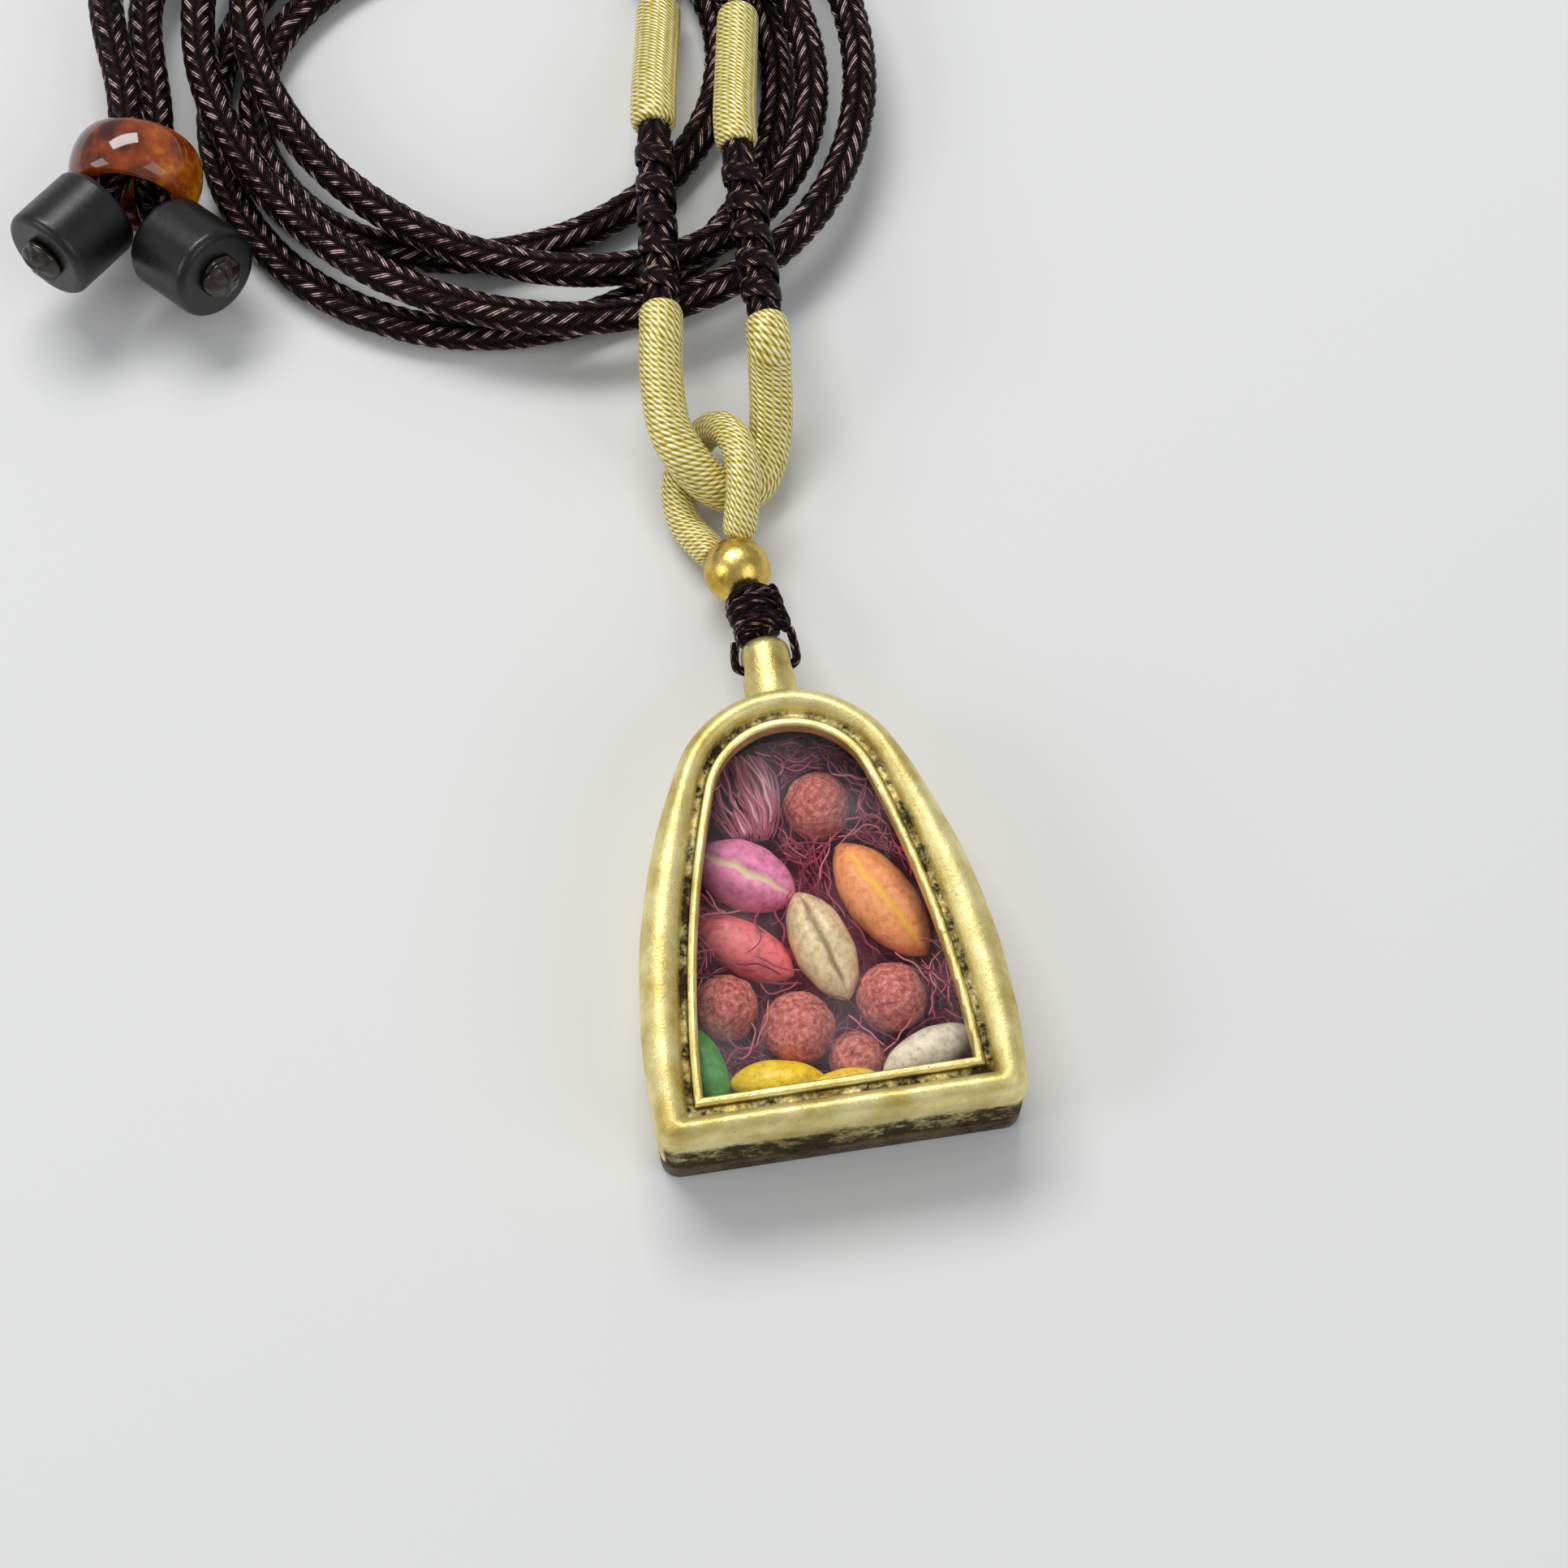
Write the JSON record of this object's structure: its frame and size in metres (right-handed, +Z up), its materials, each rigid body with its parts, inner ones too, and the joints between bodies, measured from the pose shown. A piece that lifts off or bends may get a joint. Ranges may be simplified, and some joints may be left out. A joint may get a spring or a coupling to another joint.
{
  "type": "amulet box pendant",
  "caption": "Arched brass amulet box with a window, a sliding back and relics inside, hung by a bead and loop from a coiled braided cord with a slider bead.",
  "frame": {"origin": "middle of the box's back face, which lies on the table", "axes": "+X to the right of the window, +Y from the box's foot to its bail, +Z up out of the window"},
  "size_m": [0.0612, 0.1091, 0.0101],
  "materials": {
    "brass": "aged, satin",
    "pane": "clear, lightly scratched",
    "wool": "felted",
    "fibre": "fibrous",
    "gold_bead": "satin",
    "amber": "translucent, polished",
    "end_bead": "satin",
    "cord": "braided",
    "gold_thread": "satin thread",
    "pellet": "dusty",
    "grain_pink": "dyed",
    "grain_red": "dyed",
    "grain_cream": "glossy",
    "grain_orange": "dyed",
    "grain_white": "plain",
    "grain_yellow": "dyed",
    "grain_green": "dyed"
  },
  "bodies": {
    "necklace": {"necklace_loop": "gold_thread", "left_neck": "cord", "left_wrap": "cord", "right_neck": "cord", "right_wrap": "cord", "left_sleeve": "gold_thread", "right_sleeve": "gold_thread", "left_lead": "cord", "right_lead": "cord", "lower_coil": "cord", "upper_coil": "cord", "lower_tail": "cord", "upper_tail": "cord", "end_knot_left": "cord", "end_knot_right": "cord"},
    "hanger": {"bail_cord": "cord", "hanger_knot": "cord", "hanger_core": "cord", "hanger_loop": "gold_thread"},
    "gold_bead_body": {"gold_bead": "gold_bead"},
    "case": {"case_shell": "brass", "window_bezel": "brass", "window_pane": "pane", "bail": "brass", "wool_backing": "wool", "relic_bundle": "fibre", "pellet_top": "pellet", "pellet_left": "pellet", "pellet_centre": "pellet", "pellet_right": "pellet", "pellet_bottom": "pellet", "grain_pink": "grain_pink", "grain_red": "grain_red", "grain_cream": "grain_cream", "grain_orange": "grain_orange", "grain_white": "grain_white", "grain_yellow_left": "grain_yellow", "grain_yellow_right": "grain_yellow", "grain_green": "grain_green"},
    "cover": {"back_cover": "brass"},
    "slider": {"slider_bead": "amber"},
    "end_bead_left_body": {"end_bead_left": "end_bead"},
    "end_bead_right_body": {"end_bead_right": "end_bead"}
  },
  "joints": [
    {"name": "hanger_lift", "type": "hinge", "parent": "necklace", "child": "hanger", "pos_m": [0, 0.0327, 0.0013], "axis": [-1, 0, 0], "range_deg": [0, 20]},
    {"name": "case_swing", "type": "hinge", "parent": "hanger", "child": "case", "pos_m": [0, 0.0171, 0.0044], "axis": [-1, 0, 0], "range_deg": [0, 75]},
    {"name": "cover_slide", "type": "slide", "parent": "case", "child": "cover", "axis": [0, -1, 0], "range_m": [0, 0.02]},
    {"name": "gold_bead_spin", "type": "hinge", "parent": "hanger", "child": "gold_bead_body", "pos_m": [-0.0008, 0.0253, 0.0028], "axis": [-0.1329, 0.9549, -0.2657], "continuous": true},
    {"name": "slider_slide", "type": "slide", "parent": "necklace", "child": "slider", "axis": [0.2419, 0.9703, 0], "range_m": [0, 0.0016]},
    {"name": "end_bead_left_spin", "type": "hinge", "parent": "necklace", "child": "end_bead_left_body", "pos_m": [-0.04026, 0.05779, 0.00602], "axis": [-0.6789, -0.7154, 0.165], "continuous": true},
    {"name": "end_bead_right_spin", "type": "hinge", "parent": "necklace", "child": "end_bead_right_body", "pos_m": [-0.03622, 0.05576, 0.00426], "axis": [0.6287, -0.7493, 0.2079], "continuous": true}
  ]
}
